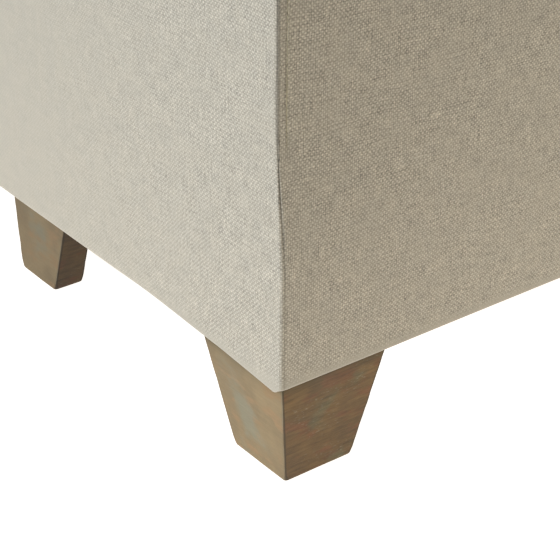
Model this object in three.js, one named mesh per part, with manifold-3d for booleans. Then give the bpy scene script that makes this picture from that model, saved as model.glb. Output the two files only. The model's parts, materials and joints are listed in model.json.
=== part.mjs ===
// Upholstered storage ottoman on tapered wooden feet, with a hinged cushioned lid and two folding lid stays.
// Millimetres, +Z up, +X along the length, front towards -Y. The origin is on the floor, at the centre of
// the outer box. The lid turns about the X axis through the hinge knuckles behind the rear top edge.
import * as THREE from 'three';
import { mergeVertices } from 'three/addons/utils/BufferGeometryUtils.js';
import Module from 'manifold-3d';

const wasm = await Module();
wasm.setup();

// ---------- driving dimensions ----------
const LENGTH = 854; // over the fabric
const BODY_DEPTH = 500; // over the fabric, without the hinge knuckles
const FOOT_HEIGHT = 105; // floor to the underside of the body
const BODY_TOP = 418; // top edge of the storage box
const LID_BOTTOM = 421;
const LID_TOP = 497;

const GAP = 0.3; // between pieces that touch
const OVERSHOOT = 1; // of a cutter past the piece that it cuts
const FABRIC = 1.5;
const PAD = 6; // foam over the side panels
const PANEL = 15;
const LINING = 1.2;
const DUST_CLOTH = 1;
const CORNER_RADIUS = 8; // fabric corners, seen from above

const UNDER_RETURN = 30; // fabric turned under the body
const TOP_RETURN = 24.6; // fabric turned over the top edge and under the lid

const RAIL_WIDTH = 60;
const RAIL_THICKNESS = 18;
const BOARD_THICKNESS = 9;
const POST = 22;
const LID_BOARD = 12;

const FOOT_TOP = 103;
const FOOT_BOTTOM = 67;
const FOOT_INSET = 3.4; // foot's top edge in from the fabric face
const MIDDLE_TOP = [109, 31]; // middle feet, along X and Y
const MIDDLE_BOTTOM = [60, 31];
const MIDDLE_TOP_INSET = 41; // middle foot's outer face in from the fabric face
const MIDDLE_BOTTOM_INSET = 34; // the same at the floor, where the foot splays outwards

const BOLT_RADIUS = 3.7;
const BOLT_IN_FOOT = 30;
const THREAD_RADIUS = 4;
const NUT_RADIUS = 5;
const NUT_FLANGE_RADIUS = 11;
const NUT_FLANGE = 1.5;
const NUT_SEAT = 3; // recess for the tee nut's flange, and slack over the bolt's tip

const HINGE_X = 270;
const HINGE_WIDTH = 60;
const LEAF = 1;
const LEAF_REACH = 27; // from the hinge axis to the leaf's far edge
const KNUCKLE_RADIUS = 3.4;
const PIN_RADIUS = 1.5;
const HINGE_GAP = 0.2; // round the pin, and from each leaf to the axis level
const AXIS_OUT = 4; // hinge axis behind the rear fabric face

const STAY_REACH = 150; // every side of the stay's parallelogram
const STAY_DOWN_ANGLE = THREE.MathUtils.degToRad(60); // hinge axis to the base pivot, below the horizontal
const STAY_LID_ANGLE = THREE.MathUtils.degToRad(5); // hinge axis to the lid pivot, below the horizontal
const ARM = 2;
const ARM_HALF_WIDTH = 8;
const ARM_GAP = 0.8; // from arm to arm
const FLANGE = 24; // of the stay's bracket, along X
const STAY_PIN_RADIUS = 3;
const STAY_HOLE_RADIUS = 3.3;
const STAY_HEAD_RADIUS = 5.5;
const STAY_HEAD = 1.6;

const BUMPER_RADIUS = 6;
const BUMPER_FROM_END = 45;

// ---------- derived places ----------
const halfX = LENGTH / 2;
const halfY = BODY_DEPTH / 2;
const padInset = FABRIC + GAP;
const panelInset = padInset + PAD + GAP;
const liningInset = panelInset + PANEL + GAP;
const innerX = halfX - liningInset;
const innerY = halfY - liningInset;
const underside = FOOT_HEIGHT + FABRIC + GAP; // bottom of panels and rails
const boxTop = BODY_TOP - FABRIC - GAP; // top of panels, under the turned fabric
const railTop = underside + RAIL_THICKNESS;
const boardTop = railTop + GAP + BOARD_THICKNESS;
const footTopZ = FOOT_HEIGHT - GAP;
const axisY = halfY + AXIS_OUT;
const axisZ = (BODY_TOP + LID_BOTTOM) / 2;
const knuckleOut = AXIS_OUT + KNUCKLE_RADIUS;

// ---------- materials ----------
function material(color, roughness, metalness = 0) {
  return new THREE.MeshStandardMaterial({ color, roughness, metalness });
}
const linen = material(0xc4bca8, 0.95);
const liningCloth = material(0x3a3733, 0.95);
const foam = material(0xe8dfc0, 0.9);
const plywood = material(0xb99b6b, 0.75);
const weatheredWood = material(0x8d7454, 0.8);
const steel = material(0x9a9a98, 0.35, 1);
const brassedSteel = material(0xa08a58, 0.35, 1);
const felt = material(0x4a4540, 1);

// ---------- shape helpers ----------
const ottoman = new THREE.Group();
ottoman.position.y = -knuckleOut / 2; // puts the origin at the centre of the outer box, knuckles included

function add(name, geometry, mat) {
  const mesh = new THREE.Mesh(geometry, mat);
  mesh.name = name;
  ottoman.add(mesh);
  return mesh;
}

function box(x0, x1, y0, y1, z0, z1) {
  const geometry = new THREE.BoxGeometry(x1 - x0, y1 - y0, z1 - z0);
  return geometry.translate((x0 + x1) / 2, (y0 + y1) / 2, (z0 + z1) / 2);
}

function extrude(shape, z0, z1, curveSegments = 5) {
  const geometry = new THREE.ExtrudeGeometry(shape, { depth: z1 - z0, bevelEnabled: false, curveSegments });
  return geometry.translate(0, 0, z0);
}

function roundedRectangle(hx, hy, r) {
  const shape = new THREE.Shape();
  shape.moveTo(hx, r - hy);
  shape.lineTo(hx, hy - r);
  shape.absarc(hx - r, hy - r, r, 0, Math.PI / 2);
  shape.lineTo(r - hx, hy);
  shape.absarc(r - hx, hy - r, r, Math.PI / 2, Math.PI);
  shape.lineTo(-hx, r - hy);
  shape.absarc(r - hx, r - hy, r, Math.PI, Math.PI * 1.5);
  shape.lineTo(hx - r, -hy);
  shape.absarc(hx - r, r - hy, r, Math.PI * 1.5, Math.PI * 2);
  return shape;
}

// A block with the body's plan, set in from the fabric face all round.
function bodyBlock(inset, z0, z1) {
  const radius = Math.max(CORNER_RADIUS - inset, 0.5);
  return extrude(roundedRectangle(halfX - inset, halfY - inset, radius), z0, z1);
}

function cylinder(radius, z0, z1, segments = 20) {
  const geometry = new THREE.CylinderGeometry(radius, radius, z1 - z0, segments);
  return geometry.rotateX(Math.PI / 2).translate(0, 0, (z0 + z1) / 2);
}

// A round bar along X.
function bar(radius, x0, x1, y, z, segments = 16) {
  const geometry = new THREE.CylinderGeometry(radius, radius, x1 - x0, segments);
  return geometry.rotateZ(Math.PI / 2).translate((x0 + x1) / 2, y, z);
}

function solid(geometry) {
  const bare = geometry.clone();
  bare.deleteAttribute('normal');
  bare.deleteAttribute('uv');
  const merged = mergeVertices(bare, 1e-4);
  const vertProperties = new Float32Array(merged.attributes.position.array);
  const triVerts = new Uint32Array(merged.index.array);
  return new wasm.Manifold(new wasm.Mesh({ numProp: 3, vertProperties, triVerts }));
}

function toGeometry(manifold) {
  const mesh = manifold.getMesh();
  const geometry = new THREE.BufferGeometry();
  geometry.setAttribute('position', new THREE.BufferAttribute(new Float32Array(mesh.vertProperties), 3));
  geometry.setIndex(new THREE.BufferAttribute(new Uint32Array(mesh.triVerts), 1));
  geometry.computeVertexNormals();
  return geometry;
}

function cut(base, ...tools) {
  return toGeometry(tools.reduce((rest, tool) => rest.subtract(solid(tool)), solid(base)));
}

function join(...pieces) {
  return pieces.map(solid).reduce((sum, piece) => sum.add(piece));
}

// ---------- storage box ----------
const panelX = halfX - panelInset;
const panelY = halfY - panelInset;
for (const [name, side] of [['front', -1], ['rear', 1]]) {
  const [y0, y1] = [side * panelY, side * (panelY - PANEL)].sort((a, b) => a - b);
  add(`${name}_panel`, box(-panelX, panelX, y0, y1, underside, boxTop), plywood);
}
for (const [name, side] of [['left', -1], ['right', 1]]) {
  const [x0, x1] = [side * panelX, side * (panelX - PANEL)].sort((a, b) => a - b);
  add(`${name}_panel`, box(x0, x1, -innerY, innerY, underside, boxTop), plywood);
}

for (const [yName, ySide] of [['front', -1], ['rear', 1]]) {
  for (const [xName, xSide] of [['left', -1], ['right', 1]]) {
    const post = box(0, POST, 0, POST, boardTop + GAP, boxTop);
    post.translate(xSide > 0 ? innerX - POST : -innerX, ySide > 0 ? innerY - POST : -innerY, 0);
    add(`corner_post_${yName}_${xName}`, post, plywood);
  }
}

// ---------- feet, hanger bolts and tee nuts ----------
const cornerAxis = FOOT_INSET + FOOT_TOP / 2;
const middleAxis = MIDDLE_TOP_INSET + MIDDLE_TOP[1] / 2;
const splay = MIDDLE_TOP_INSET - MIDDLE_BOTTOM_INSET;
const feet = [];
for (const [yName, ySide] of [['front', -1], ['rear', 1]]) {
  for (const [xName, xSide] of [['left', -1], ['middle', 0], ['right', 1]]) {
    const middle = xSide === 0;
    const x = xSide * (halfX - cornerAxis);
    const y = ySide * (halfY - (middle ? middleAxis : cornerAxis));
    feet.push({ name: `${yName}_${xName}`, x, y, ySide, middle });
  }
}

// A block with rectangular ends, whose bottom end is set off along Y by bottomShift.
function taperedBlock(top, bottom, bottomShift, z0, z1) {
  const geometry = new THREE.BoxGeometry(1, 1, z1 - z0).translate(0, 0, (z0 + z1) / 2);
  const position = geometry.attributes.position;
  for (let i = 0; i < position.count; i += 1) {
    const atTop = position.getZ(i) > (z0 + z1) / 2;
    const [width, depth] = atTop ? top : bottom;
    const shift = atTop ? 0 : bottomShift;
    position.setXY(i, position.getX(i) * width, position.getY(i) * depth + shift);
  }
  return geometry;
}

const nutProfile = [
  [THREAD_RADIUS, 0],
  [NUT_RADIUS, 0],
  [NUT_RADIUS, RAIL_THICKNESS - NUT_SEAT],
  [NUT_FLANGE_RADIUS, RAIL_THICKNESS - NUT_SEAT],
  [NUT_FLANGE_RADIUS, RAIL_THICKNESS - NUT_SEAT + NUT_FLANGE],
  [THREAD_RADIUS, RAIL_THICKNESS - NUT_SEAT + NUT_FLANGE],
  [THREAD_RADIUS, 0],
].map(([r, z]) => new THREE.Vector2(r, z));
const nutBottom = underside + NUT_SEAT / 3;

for (const { name, x, y, ySide, middle } of feet) {
  const top = middle ? MIDDLE_TOP : [FOOT_TOP, FOOT_TOP];
  const bottom = middle ? MIDDLE_BOTTOM : [FOOT_BOTTOM, FOOT_BOTTOM];
  const block = taperedBlock(top, bottom, middle ? ySide * splay : 0, 0, footTopZ);
  const hole = cylinder(THREAD_RADIUS, footTopZ - BOLT_IN_FOOT - OVERSHOOT, footTopZ + OVERSHOOT);
  add(`foot_${name}`, cut(block, hole).translate(x, y, 0), weatheredWood);
  const bolt = cylinder(BOLT_RADIUS, footTopZ - BOLT_IN_FOOT, railTop - NUT_SEAT / 3);
  add(`hanger_bolt_${name}`, bolt.translate(x, y, 0), steel);
  const nut = new THREE.LatheGeometry(nutProfile, 20).rotateX(Math.PI / 2);
  add(`tee_nut_${name}`, nut.translate(x, y, nutBottom), steel);
}

// ---------- bottom rails and floor ----------
function nutHoles(side) {
  const holes = [];
  for (const foot of feet.filter(({ ySide }) => ySide === side)) {
    const through = cylinder(NUT_RADIUS + GAP, underside - OVERSHOOT, railTop + OVERSHOOT);
    const recessBottom = nutBottom + RAIL_THICKNESS - NUT_SEAT - GAP;
    const recess = cylinder(NUT_FLANGE_RADIUS + GAP, recessBottom, railTop + OVERSHOOT);
    holes.push(through.translate(foot.x, foot.y, 0), recess.translate(foot.x, foot.y, 0));
  }
  return holes;
}
for (const [name, side] of [['front', -1], ['rear', 1]]) {
  const [y0, y1] = [side * innerY, side * (innerY - RAIL_WIDTH)].sort((a, b) => a - b);
  add(`${name}_rail`, cut(box(-innerX, innerX, y0, y1, underside, railTop), ...nutHoles(side)), plywood);
}
const sideRailY = innerY - RAIL_WIDTH - GAP;
for (const [name, side] of [['left', -1], ['right', 1]]) {
  const [x0, x1] = [side * innerX, side * (innerX - RAIL_WIDTH)].sort((a, b) => a - b);
  add(`${name}_rail`, box(x0, x1, -sideRailY, sideRailY, underside, railTop), plywood);
}
add('bottom_board', box(-innerX, innerX, -innerY, innerY, railTop + GAP, boardTop), plywood);

// ---------- lining of the storage space ----------
function notchedRectangle(hx, hy, notch) {
  const corners = [[1, -1], [1, 1], [-1, 1], [-1, -1]];
  const points = [];
  for (const [sx, sy] of corners) {
    const along = [sx * hx, sy * (hy - notch)];
    const inside = [sx * (hx - notch), sy * (hy - notch)];
    const across = [sx * (hx - notch), sy * hy];
    points.push(...(sx === sy ? [along, inside, across] : [across, inside, along]));
  }
  return new THREE.Shape(points.map(([x, y]) => new THREE.Vector2(x, y)));
}
const notch = POST + GAP;
const liningRing = notchedRectangle(innerX, innerY, notch);
liningRing.holes.push(notchedRectangle(innerX - LINING, innerY - LINING, notch));
add('lining_walls', extrude(liningRing, boardTop + GAP, boxTop), liningCloth);
const liningFloor = notchedRectangle(innerX - LINING - GAP, innerY - LINING - GAP, notch);
add('lining_floor', extrude(liningFloor, boardTop + GAP, boardTop + GAP + LINING), liningCloth);

// ---------- pads and fabric of the box ----------
const padBlock = solid(bodyBlock(padInset, underside, boxTop));
const padRegions = {
  front: [-halfX, halfX, -halfY, -(panelY + GAP)],
  rear: [-halfX, halfX, panelY + GAP, halfY],
  left: [-halfX, -(panelX + GAP), -panelY, panelY],
  right: [panelX + GAP, halfX, -panelY, panelY],
};
for (const [name, [x0, x1, y0, y1]] of Object.entries(padRegions)) {
  const region = solid(box(x0, x1, y0, y1, FOOT_HEIGHT, BODY_TOP));
  add(`${name}_pad`, toGeometry(padBlock.intersect(region)), foam);
}

const cover = cut(
  bodyBlock(0, FOOT_HEIGHT, BODY_TOP),
  bodyBlock(FABRIC, FOOT_HEIGHT + FABRIC, BODY_TOP - FABRIC),
  bodyBlock(UNDER_RETURN, FOOT_HEIGHT - OVERSHOOT, FOOT_HEIGHT + FABRIC + OVERSHOOT),
  bodyBlock(TOP_RETURN, BODY_TOP - FABRIC - OVERSHOOT, BODY_TOP + OVERSHOOT),
);
add('body_cover', cover, linen);

const dustX = halfX - UNDER_RETURN - GAP;
const dustY = halfY - UNDER_RETURN - GAP;
const dustTop = underside - GAP * 2;
const dust = box(-dustX, dustX, -dustY, dustY, dustTop - DUST_CLOTH, dustTop);
const dustHoles = feet.map(({ x, y }) => cylinder(NUT_RADIUS, FOOT_HEIGHT, underside).translate(x, y, 0));
add('dust_cover', cut(dust, ...dustHoles), liningCloth);

const bumperX = halfX - BUMPER_FROM_END;
for (const [name, side] of [['left', -1], ['right', 1]]) {
  const bumper = cylinder(BUMPER_RADIUS, BODY_TOP + GAP, LID_BOTTOM - GAP, 16);
  add(`bumper_${name}`, bumper.translate(side * bumperX, -(halfY - TOP_RETURN / 2), 0), felt);
}

// ---------- lid ----------
const lidBoardBottom = LID_BOTTOM + FABRIC + GAP;
const lidBoardTop = lidBoardBottom + LID_BOARD;
add('lid_board', bodyBlock(padInset, lidBoardBottom, lidBoardTop), plywood);
add('lid_foam', bodyBlock(padInset, lidBoardTop + GAP, LID_TOP - FABRIC - GAP), foam);
const lidCover = cut(
  bodyBlock(0, LID_BOTTOM, LID_TOP),
  bodyBlock(FABRIC, LID_BOTTOM + FABRIC, LID_TOP - FABRIC),
  bodyBlock(TOP_RETURN, LID_BOTTOM - OVERSHOOT, LID_BOTTOM + FABRIC + OVERSHOOT),
);
add('lid_cover', lidCover, linen);
add('lid_lining', bodyBlock(TOP_RETURN + GAP, LID_BOTTOM + GAP, LID_BOTTOM + GAP + LINING), liningCloth);

// ---------- butt hinges ----------
const third = HINGE_WIDTH / 3;
const knuckleClear = bar(PIN_RADIUS + HINGE_GAP, -HINGE_WIDTH, HINGE_WIDTH, axisY, axisZ);
const baseLeafTop = axisZ - HINGE_GAP;
const lidLeafBottom = axisZ + HINGE_GAP;
for (const [name, side] of [['left', -1], ['right', 1]]) {
  const x = side * HINGE_X;
  const leafEdge = axisY - LEAF_REACH;
  const halfLeaf = HINGE_WIDTH / 2;
  const baseLeaf = box(-halfLeaf, halfLeaf, leafEdge, axisY, baseLeafTop - LEAF, baseLeafTop);
  const lidLeaf = box(-halfLeaf, halfLeaf, leafEdge, axisY, lidLeafBottom, lidLeafBottom + LEAF);
  const middleSlot = bar(KNUCKLE_RADIUS + GAP, -third / 2 - GAP, third / 2 + GAP, axisY, axisZ);
  const leftSlot = bar(KNUCKLE_RADIUS + GAP, -HINGE_WIDTH, -third / 2, axisY, axisZ);
  const rightSlot = bar(KNUCKLE_RADIUS + GAP, third / 2, HINGE_WIDTH, axisY, axisZ);
  const outerKnuckles = join(
    bar(KNUCKLE_RADIUS, -halfLeaf, -third / 2 - GAP, axisY, axisZ),
    bar(KNUCKLE_RADIUS, third / 2 + GAP, halfLeaf, axisY, axisZ),
  );
  const base = solid(baseLeaf).subtract(solid(middleSlot)).add(outerKnuckles).subtract(solid(knuckleClear));
  add(`hinge_base_leaf_${name}`, toGeometry(base).translate(x, 0, 0), brassedSteel);
  const centre = solid(bar(KNUCKLE_RADIUS, -third / 2, third / 2, axisY, axisZ));
  const lidSide = solid(lidLeaf).subtract(solid(leftSlot)).subtract(solid(rightSlot));
  const swinging = lidSide.add(centre).subtract(solid(knuckleClear));
  add(`hinge_lid_leaf_${name}`, toGeometry(swinging).translate(x, 0, 0), brassedSteel);
  add(`hinge_pin_${name}`, bar(PIN_RADIUS, x - halfLeaf, x + halfLeaf, axisY, axisZ), steel);
}

// ---------- folding lid stays ----------
// The hinge axis and the three pivots are the corners of a parallelogram with equal sides, so the lower
// arm turns with the lid and the upper arm keeps its direction.
function fromAxis(angle) {
  return [axisY - STAY_REACH * Math.cos(angle), axisZ - STAY_REACH * Math.sin(angle)];
}
const basePivot = fromAxis(STAY_DOWN_ANGLE);
const lidPivot = fromAxis(STAY_LID_ANGLE);
const elbow = [basePivot[0] + lidPivot[0] - axisY, basePivot[1] + lidPivot[1] - axisZ];

const plateOuter = innerX - LINING - GAP; // stay parts are laid out inwards from the lining
const lowerArmOuter = plateOuter - ARM - ARM_GAP;
const upperArmOuter = lowerArmOuter - ARM - ARM_GAP;
const headOuter = upperArmOuter - ARM - GAP;

// A flat arm with round ends between two pivots, with its outer face at x.
function arm([y0, z0], [y1, z1], x) {
  const angle = Math.atan2(z1 - z0, y1 - y0);
  const reach = Math.hypot(y1 - y0, z1 - z0);
  const outline = new THREE.Shape();
  outline.absarc(0, 0, ARM_HALF_WIDTH, Math.PI / 2, Math.PI * 1.5);
  outline.absarc(reach, 0, ARM_HALF_WIDTH, -Math.PI / 2, Math.PI / 2);
  const flat = extrude(outline, 0, ARM, 10).rotateZ(angle);
  // the flat outline's x and y become the object's y and z, and its thickness runs along x
  const turn = new THREE.Matrix4().makeBasis(
    new THREE.Vector3(0, 1, 0), new THREE.Vector3(0, 0, 1), new THREE.Vector3(1, 0, 0));
  return flat.applyMatrix4(turn).translate(x - ARM, y0, z0);
}
function pivotPin([y, z], xOuter, headX) {
  return join(
    bar(STAY_PIN_RADIUS, headX - STAY_HEAD / 2, xOuter, y, z),
    bar(STAY_HEAD_RADIUS, headX - STAY_HEAD, headX, y, z),
  );
}
function pivotHole([y, z]) {
  return solid(bar(STAY_HOLE_RADIUS, 0, halfX, y, z));
}

const plateHalf = 20;
const stayPlate = box(
  plateOuter - ARM, plateOuter,
  basePivot[0] - plateHalf, basePivot[0] + plateHalf, basePivot[1] - plateHalf, basePivot[1] + plateHalf);
const bracketHalf = 16;
const flangeInner = lowerArmOuter - FLANGE;
const bracketTop = LID_BOTTOM - GAP;
const bracketFlange = box(
  flangeInner, lowerArmOuter, lidPivot[0] - bracketHalf, lidPivot[0] + bracketHalf, bracketTop - ARM, bracketTop);
const bracketWeb = box(
  lowerArmOuter - ARM, lowerArmOuter,
  lidPivot[0] - ARM_HALF_WIDTH, lidPivot[0] + ARM_HALF_WIDTH, lidPivot[1] - ARM_HALF_WIDTH, bracketTop);

const stayPieces = {
  stay_plate: join(stayPlate).add(pivotPin(basePivot, plateOuter - ARM / 2, lowerArmOuter - ARM - GAP)),
  stay_lower_arm: solid(arm(basePivot, elbow, lowerArmOuter))
    .subtract(pivotHole(basePivot))
    .add(pivotPin(elbow, lowerArmOuter - ARM / 2, headOuter)),
  stay_upper_arm: solid(arm(elbow, lidPivot, upperArmOuter))
    .subtract(pivotHole(elbow))
    .subtract(pivotHole(lidPivot)),
  stay_lid_bracket: join(bracketFlange, bracketWeb).add(
    pivotPin(lidPivot, lowerArmOuter - ARM / 2, headOuter)),
};
for (const [name, piece] of Object.entries(stayPieces)) {
  add(`${name}_right`, toGeometry(piece), steel);
  add(`${name}_left`, toGeometry(piece.mirror([1, 0, 0])), steel);
}

export default ottoman;
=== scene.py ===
"""Looks of the storage ottoman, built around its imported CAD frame. Metres, +Z up, front towards -Y.

Soft pieces (covers, pads, linings, dust cover, bumpers) and the worn wooden feet are made here and stand
for their CAD nodes. Panels, rails, posts, bolts, hinges and stays stay CAD nodes with their own materials.
"""
import json
import math
import random

import bpy
from mathutils import Matrix, Vector, noise

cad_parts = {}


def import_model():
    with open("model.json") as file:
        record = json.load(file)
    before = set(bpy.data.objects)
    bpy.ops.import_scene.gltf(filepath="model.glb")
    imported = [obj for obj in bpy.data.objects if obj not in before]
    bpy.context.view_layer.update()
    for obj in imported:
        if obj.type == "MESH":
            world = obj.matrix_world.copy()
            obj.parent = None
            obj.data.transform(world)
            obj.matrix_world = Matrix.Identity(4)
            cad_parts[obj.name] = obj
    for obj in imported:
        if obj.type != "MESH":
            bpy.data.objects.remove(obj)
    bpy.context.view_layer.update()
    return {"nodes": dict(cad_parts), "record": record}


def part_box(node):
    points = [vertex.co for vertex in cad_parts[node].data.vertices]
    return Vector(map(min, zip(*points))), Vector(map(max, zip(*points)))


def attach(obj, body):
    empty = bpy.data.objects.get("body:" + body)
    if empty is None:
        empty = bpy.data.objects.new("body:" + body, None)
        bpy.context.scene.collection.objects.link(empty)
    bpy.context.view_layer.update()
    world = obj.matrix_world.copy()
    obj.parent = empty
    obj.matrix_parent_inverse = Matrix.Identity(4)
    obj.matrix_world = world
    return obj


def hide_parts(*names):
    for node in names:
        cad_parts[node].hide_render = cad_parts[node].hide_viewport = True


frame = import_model()
nodes = frame["nodes"]
subparts = frame["record"]["subparts"]
MM = 0.001

# ---------- camera ----------
CAMERA_FROM_CORNER = Vector((0.8463, -0.6515, 0.6886))  # from the body's front right bottom corner
CAMERA_AZIMUTH = math.radians(52.48)
CAMERA_ELEVATION = math.radians(29.06)
CAMERA_ROLL = math.radians(-0.41)
CAMERA_LENS = 109.3  # for a 36 mm wide sensor


def make_camera():
    flat = math.cos(CAMERA_ELEVATION)
    ahead = Vector((
        -math.sin(CAMERA_AZIMUTH) * flat, math.cos(CAMERA_AZIMUTH) * flat, -math.sin(CAMERA_ELEVATION)))
    level = ahead.cross(Vector((0, 0, 1))).normalized()
    right = Matrix.Rotation(CAMERA_ROLL, 3, ahead) @ level
    down = ahead.cross(right)
    data = bpy.data.cameras.new("camera")
    data.lens = CAMERA_LENS
    data.sensor_width = 36
    data.clip_start = 0.01
    camera = bpy.data.objects.new("camera", data)
    bpy.context.scene.collection.objects.link(camera)
    low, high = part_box("body_cover")
    place = Vector((high.x, low.y, low.z)) + CAMERA_FROM_CORNER
    camera.matrix_world = Matrix.Translation(place) @ Matrix((right, -down, -ahead)).transposed().to_4x4()
    bpy.context.scene.camera = camera


make_camera()


# ---------- small helpers ----------
def smoothstep(low, high, x):
    t = clamp((x - low) / (high - low), 0.0, 1.0)
    return t * t * (3 - 2 * t)


def mix(a, b, t):
    return a + (b - a) * t


def clamp(value, low, high):
    return min(max(value, low), high)


def tube_faces(turns, rings, base=0):
    """Faces round a closed stack of rings of turns points each, its foot and its top included."""
    faces = []
    for j in range(rings - 1):
        low, high = base + j * turns, base + (j + 1) * turns
        for i in range(turns):
            k = (i + 1) % turns
            faces.append((low + i, low + k, high + k, high + i))
    faces.append(tuple(base + i for i in range(turns))[::-1])
    faces.append(tuple(high + i for i in range(turns)))
    return faces


def box_faces(counts):
    """Each face on a gridded box: its axis, its side (0 is the low one) and its four corner keys."""
    for axis in range(3):
        a, b = (axis + 1) % 3, (axis + 2) % 3
        for side in (0, counts[axis]):
            for p in range(counts[a]):
                for q in range(counts[b]):
                    corners = []
                    for dp, dq in ((0, 0), (1, 0), (1, 1), (0, 1)):
                        key = [0, 0, 0]
                        key[axis], key[a], key[b] = side, p + dp, q + dq
                        corners.append(tuple(key))
                    yield axis, side, corners


def rounded(raw, low, high, radius):
    """A place on or in a box, moved in to the box's rounded edge where it is near one."""
    core = Vector([clamp(raw[a], low[a] + radius, high[a] - radius) for a in range(3)])
    away = raw - core
    return core + away.normalized() * radius if away.length > radius else raw


def make_mesh(name, points, faces, uvs=None, smooth=True):
    """A mesh object. uvs holds one (u, v) for each corner of each face, in metres of cloth."""
    mesh = bpy.data.meshes.new(name)
    mesh.from_pydata([tuple(p) for p in points], [], faces)
    if uvs is not None:
        layer = mesh.uv_layers.new(name="cloth")
        flat = [value for face in uvs for uv in face for value in uv]
        layer.data.foreach_set("uv", flat)
    mesh.validate()
    for polygon in mesh.polygons:
        polygon.use_smooth = smooth
    piece = bpy.data.objects.new(name, mesh)
    bpy.context.scene.collection.objects.link(piece)
    return piece


def add_values(piece, name, values):
    attribute = piece.data.attributes.new(name, "FLOAT", "POINT")
    attribute.data.foreach_set("value", values)


def apply_modifiers(piece):
    depsgraph = bpy.context.evaluated_depsgraph_get()
    depsgraph.update()
    shaped = bpy.data.meshes.new_from_object(piece.evaluated_get(depsgraph))
    piece.modifiers.clear()
    piece.data = shaped


def solidify(piece, thickness):
    modifier = piece.modifiers.new("thickness", "SOLIDIFY")
    modifier.thickness = thickness
    modifier.offset = -1.0
    apply_modifiers(piece)


def subdivide(piece):
    modifier = piece.modifiers.new("smooth", "SUBSURF")
    modifier.levels = 1
    modifier.render_levels = 1
    apply_modifiers(piece)


def finish_piece(piece, material, body, slot, *replaced):
    piece.data.materials.clear()
    piece.data.materials.append(material)
    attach(piece, body)
    if replaced:
        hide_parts(*replaced)


def size_of(name):
    low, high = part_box(name)
    return low, high, high - low, (low + high) / 2


def wobble(x, y, z, scale, seed=0.0):
    return noise.noise(Vector((x / scale + seed, y / scale - seed, z / scale + 2 * seed)))


# ---------- materials ----------
class Nodes:
    """Short words for building one material's node tree."""

    def __init__(self, name):
        self.material = bpy.data.materials.new(name)
        self.material.use_nodes = True
        self.tree = self.material.node_tree
        self.shader = self.tree.nodes["Principled BSDF"]

    def add(self, kind, **values):
        node = self.tree.nodes.new(kind)
        for key, value in values.items():
            setattr(node, key, value)
        return node

    def link(self, source, target):
        self.tree.links.new(source, target)

    def put(self, socket, value):
        if isinstance(value, bpy.types.NodeSocket):
            self.link(value, socket)
        else:
            socket.default_value = value

    def math(self, operation, a, b=0.0, c=0.0):
        node = self.add("ShaderNodeMath", operation=operation)
        for socket, value in zip(node.inputs, (a, b, c)):
            self.put(socket, value)
        return node.outputs[0]

    def times(self, a, b):
        return self.math("MULTIPLY", a, b)

    def scaled(self, value, factor, plus):
        return self.math("MULTIPLY_ADD", value, factor, plus)

    def attribute(self, name):
        return self.add("ShaderNodeAttribute", attribute_name=name).outputs["Fac"]

    def object_place(self):
        return self.add("ShaderNodeTexCoord").outputs["Object"]

    def cloth_place(self):
        return self.add("ShaderNodeUVMap", uv_map="cloth").outputs[0]

    def axes(self, vector):
        node = self.add("ShaderNodeSeparateXYZ")
        self.link(vector, node.inputs[0])
        return node.outputs

    def stretched(self, vector, scale):
        mapping = self.add("ShaderNodeMapping")
        mapping.inputs["Scale"].default_value = scale
        self.link(vector, mapping.inputs["Vector"])
        return mapping.outputs[0]

    def noise(self, vector, scale, detail=3.0, roughness=0.5):
        node = self.add("ShaderNodeTexNoise")
        self.link(vector, node.inputs["Vector"])
        node.inputs["Scale"].default_value = scale
        node.inputs["Detail"].default_value = detail
        node.inputs["Roughness"].default_value = roughness
        return node.outputs["Fac"]

    def ramp(self, value, low, high):
        """0 below low, 1 above high, smooth between."""
        node = self.add("ShaderNodeMapRange", interpolation_type="SMOOTHSTEP")
        self.put(node.inputs["Value"], value)
        node.inputs["From Min"].default_value = low
        node.inputs["From Max"].default_value = high
        return node.outputs["Result"]

    def blend(self, factor, a, b, kind="MIX"):
        node = self.add("ShaderNodeMix", data_type="RGBA", blend_type=kind)
        self.put(node.inputs["Factor"], factor)
        self.put(node.inputs["A"], a if isinstance(a, bpy.types.NodeSocket) else (*a, 1))
        self.put(node.inputs["B"], b if isinstance(b, bpy.types.NodeSocket) else (*b, 1))
        return node.outputs["Result"]

    def shade(self, value):
        """A grey colour from a number, to multiply another colour by."""
        node = self.add("ShaderNodeCombineColor")
        for socket in node.inputs[:3]:
            self.link(value, socket)
        return node.outputs[0]

    def bump(self, height, strength, distance):
        node = self.add("ShaderNodeBump")
        node.inputs["Strength"].default_value = strength
        node.inputs["Distance"].default_value = distance
        self.link(height, node.inputs["Height"])
        return node.outputs["Normal"]

    def finish(self, color, roughness, normal=None, metallic=0.0):
        self.put(self.shader.inputs["Base Color"], color)
        self.put(self.shader.inputs["Roughness"], roughness)
        self.shader.inputs["Metallic"].default_value = metallic
        if normal is not None:
            self.link(normal, self.shader.inputs["Normal"])
        return self.material


MEAN_GAP = 1.27  # mean of the two directions' |sine|
PULLED_FLAT = 0.85  # how much of the weave's contrast and relief goes where "pulled" is 1
# how much the seams' grooves are darkened: painted shade
SEAM_SHADE = 0.75


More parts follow.
